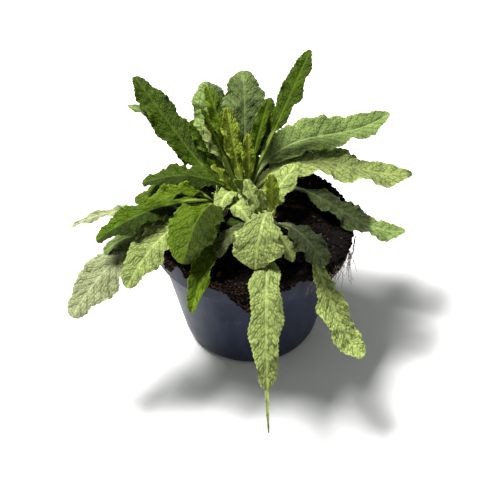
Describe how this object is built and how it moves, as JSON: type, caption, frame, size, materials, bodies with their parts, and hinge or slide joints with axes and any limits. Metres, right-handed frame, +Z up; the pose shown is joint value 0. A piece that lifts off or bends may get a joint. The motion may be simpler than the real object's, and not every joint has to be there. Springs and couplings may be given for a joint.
{
  "type": "young potted salvia plant in a nursery pot",
  "caption": "Leafy young salvia: a low rosette of long, puckered, scalloped leaves on grooved stalks, rooted in dark potting soil in a round tapered plastic nursery pot.",
  "frame": {"origin": "middle of the pot's underside, on the central pad that stands on the ground", "axes": "+Z up along the pot's axis, +X to the right and -Y to the front of the pictured view"},
  "size_m": [0.2894, 0.314, 0.2389],
  "materials": {
    "pot_plastic": "moulded polypropylene, blue-black, slightly sheeny, dusty",
    "soil": null,
    "crown": null,
    "leaf_bright": null,
    "leaf_young": null,
    "leaf_green": null,
    "leaf_dark": null,
    "leaf_pale": null,
    "leaf_grey": null
  },
  "bodies": {
    "root": {"nursery_pot": "pot_plastic", "potting_soil": "soil", "crown_main": "crown", "crown_front": "crown", "crown_left": "crown", "leaf_left_01": "leaf_dark", "leaf_left_02": "leaf_grey", "leaf_left_03": "leaf_dark", "leaf_left_04": "leaf_green", "leaf_left_05": "leaf_dark", "leaf_left_06": "leaf_pale", "leaf_left_07": "leaf_green", "leaf_left_08": "leaf_grey", "leaf_left_09": "leaf_pale", "leaf_left_10": "leaf_bright", "leaf_front_01": "leaf_green", "leaf_front_02": "leaf_green", "leaf_front_03": "leaf_bright", "leaf_front_04": "leaf_bright", "leaf_front_05": "leaf_bright", "leaf_front_06": "leaf_grey", "leaf_front_07": "leaf_bright", "leaf_front_08": "leaf_bright", "leaf_right_01": "leaf_grey", "leaf_right_02": "leaf_bright", "leaf_right_03": "leaf_grey", "leaf_right_04": "leaf_dark", "leaf_top_01": "leaf_grey", "leaf_top_02": "leaf_grey", "leaf_back_01": "leaf_green", "leaf_back_02": "leaf_green", "leaf_back_03": "leaf_green", "leaf_back_04": "leaf_dark", "leaf_back_05": "leaf_dark", "leaf_back_06": "leaf_dark", "leaf_back_07": "leaf_dark", "leaf_back_08": "leaf_green", "leaf_heart_01": "leaf_bright", "leaf_heart_02": "leaf_bright", "leaf_heart_03": "leaf_bright", "leaf_heart_04": "leaf_young", "leaf_heart_05": "leaf_bright", "leaf_heart_06": "leaf_dark", "leaf_heart_07": "leaf_young", "leaf_heart_08": "leaf_dark", "leaf_heart_09": "leaf_bright", "leaf_heart_10": "leaf_dark", "leaf_heart_11": "leaf_young", "leaf_heart_12": "leaf_young", "leaf_heart_13": "leaf_green", "leaf_heart_14": "leaf_bright", "leaf_heart_15": "leaf_bright", "leaf_heart_16": "leaf_bright", "leaf_heart_17": "leaf_green"}
  },
  "joints": []
}
